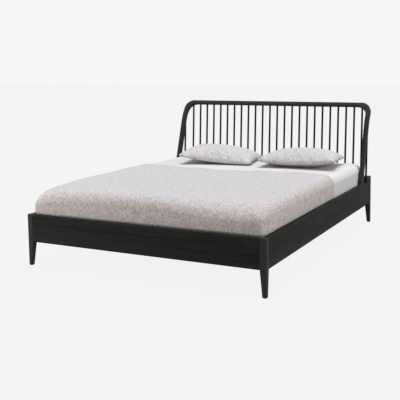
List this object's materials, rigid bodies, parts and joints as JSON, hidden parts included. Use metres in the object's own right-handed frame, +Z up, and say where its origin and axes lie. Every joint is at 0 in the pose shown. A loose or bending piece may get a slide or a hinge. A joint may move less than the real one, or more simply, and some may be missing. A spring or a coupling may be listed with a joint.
{
  "type": "spindle bed",
  "caption": "Wooden double bed with tapered legs and a leaning bent hoop headboard filled with round spindles, dressed with a mattress, blanket and pillows.",
  "frame": {"origin": "on the floor, below the middle of the whole bed", "axes": "+Z up, +Y towards the headboard, +X to the right of somebody at the foot who looks at the headboard"},
  "size_m": [1.67, 2.1822, 0.9565],
  "materials": {
    "stained_oak": "black stain, satin",
    "slats": "bare birch",
    "plain_timber": "planed pine",
    "dowels": "bare beech",
    "steel": "zinc plated",
    "glides": "moulded",
    "tape": "woven tape",
    "mattress_cover": "smooth white ticking",
    "blanket_weave": "heathered weave",
    "pillow_weave": "heathered weave"
  },
  "bodies": {
    "root": {"back_rail": "stained_oak", "beam_hangers": "steel", "blanket": "blanket_weave", "bracket_screws": "steel", "centre_beam": "plain_timber", "centre_legs": "stained_oak", "corner_bolts": "steel", "corner_nuts": "steel", "corner_plates": "steel", "foot_rail": "stained_oak", "frame_dowels": "dowels", "headboard_board": "stained_oak", "hoop_corner_left": "stained_oak", "hoop_corner_right": "stained_oak", "hoop_dowels": "dowels", "hoop_post_left": "stained_oak", "hoop_post_right": "stained_oak", "hoop_top_rail": "stained_oak", "ledge_left": "plain_timber", "ledge_right": "plain_timber", "ledge_screws": "steel", "leg_front_left": "stained_oak", "leg_front_right": "stained_oak", "leg_glides": "glides", "leg_rear_left": "stained_oak", "leg_rear_right": "stained_oak", "mattress": "mattress_cover", "pillow_left": "pillow_weave", "pillow_right": "pillow_weave", "side_rail_left": "stained_oak", "side_rail_right": "stained_oak", "slat_tapes": "tape", "slats_left": "slats", "slats_right": "slats", "spindle_01": "stained_oak", "spindle_02": "stained_oak", "spindle_03": "stained_oak", "spindle_04": "stained_oak", "spindle_05": "stained_oak", "spindle_06": "stained_oak", "spindle_07": "stained_oak", "spindle_08": "stained_oak", "spindle_09": "stained_oak", "spindle_10": "stained_oak", "spindle_11": "stained_oak", "spindle_12": "stained_oak", "spindle_13": "stained_oak", "spindle_14": "stained_oak", "spindle_15": "stained_oak", "spindle_16": "stained_oak", "spindle_17": "stained_oak", "spindle_18": "stained_oak", "spindle_19": "stained_oak", "spindle_20": "stained_oak", "spindle_21": "stained_oak", "spindle_22": "stained_oak", "spindle_23": "stained_oak", "spindle_24": "stained_oak", "spindle_25": "stained_oak", "spindle_26": "stained_oak"}
  },
  "joints": []
}
